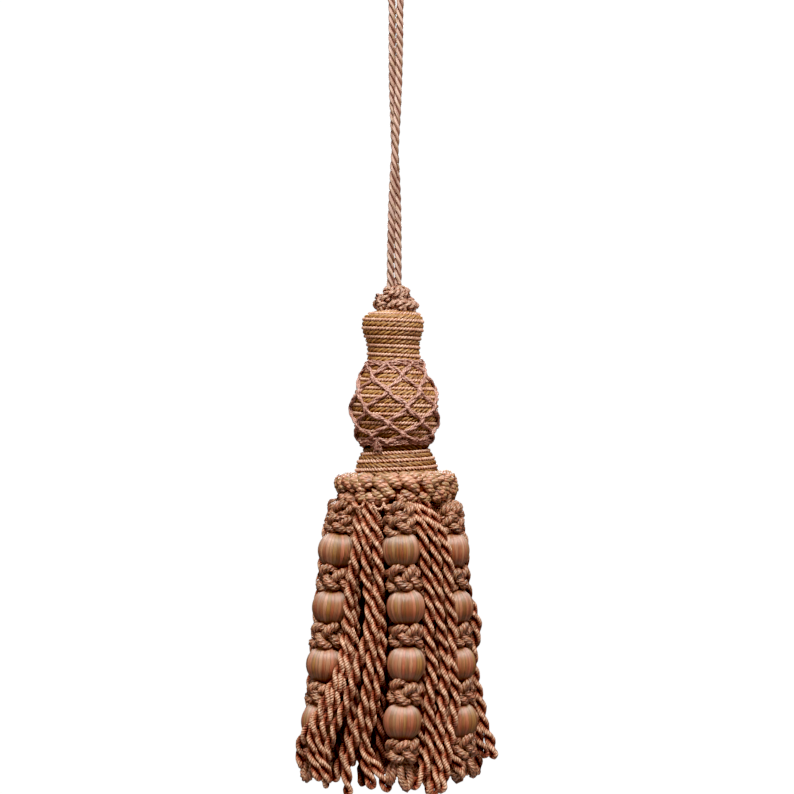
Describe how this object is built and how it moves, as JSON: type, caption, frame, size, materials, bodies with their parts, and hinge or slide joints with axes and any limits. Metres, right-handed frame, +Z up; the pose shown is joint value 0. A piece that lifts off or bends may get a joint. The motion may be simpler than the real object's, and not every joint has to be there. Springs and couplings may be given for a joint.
{
  "type": "key tassel",
  "caption": "Hanging key tassel with a cord loop, a cord-wound head in a knotted net, a crocheted band, beaded hangers and a bullion fringe skirt.",
  "frame": {"origin": "inside crown of the hanging loop, where a hook or a key's bow bears", "axes": "+Z up along the hanging cord, -Y towards the front, +X to the right seen from the front"},
  "size_m": [0.0634, 0.0551, 0.258],
  "materials": {
    "winding": "gold twisted cord with a thin pink line, wound in turns",
    "net": "mauve flat braid, knotted",
    "crochet": "thick rose and olive gimp, crocheted",
    "cord": "rose twisted cord of three plies",
    "knots": "thick copper and rose gimp, plaited",
    "beads": "silk thread laid in stripes over a bead, soft shine",
    "bullion": "copper twisted bullion of two plies"
  },
  "bodies": {
    "root": {"head": "winding", "ball_net": "net", "top_ruff": "crochet", "skirt_band": "crochet", "hanging_cord": "cord", "bullion_fringe": "bullion", "hanger_1": "knots", "bead_1_1": "beads", "bead_1_2": "beads", "bead_1_3": "beads", "bead_1_4": "beads", "hanger_2": "knots", "bead_2_1": "beads", "bead_2_2": "beads", "bead_2_3": "beads", "bead_2_4": "beads", "hanger_3": "knots", "bead_3_1": "beads", "bead_3_2": "beads", "bead_3_3": "beads", "bead_3_4": "beads", "hanger_4": "knots", "bead_4_1": "beads", "bead_4_2": "beads", "bead_4_3": "beads", "bead_4_4": "beads", "hanger_5": "knots", "bead_5_1": "beads", "bead_5_2": "beads", "bead_5_3": "beads", "bead_5_4": "beads", "hanger_6": "knots", "bead_6_1": "beads", "bead_6_2": "beads", "bead_6_3": "beads", "bead_6_4": "beads"}
  },
  "joints": []
}
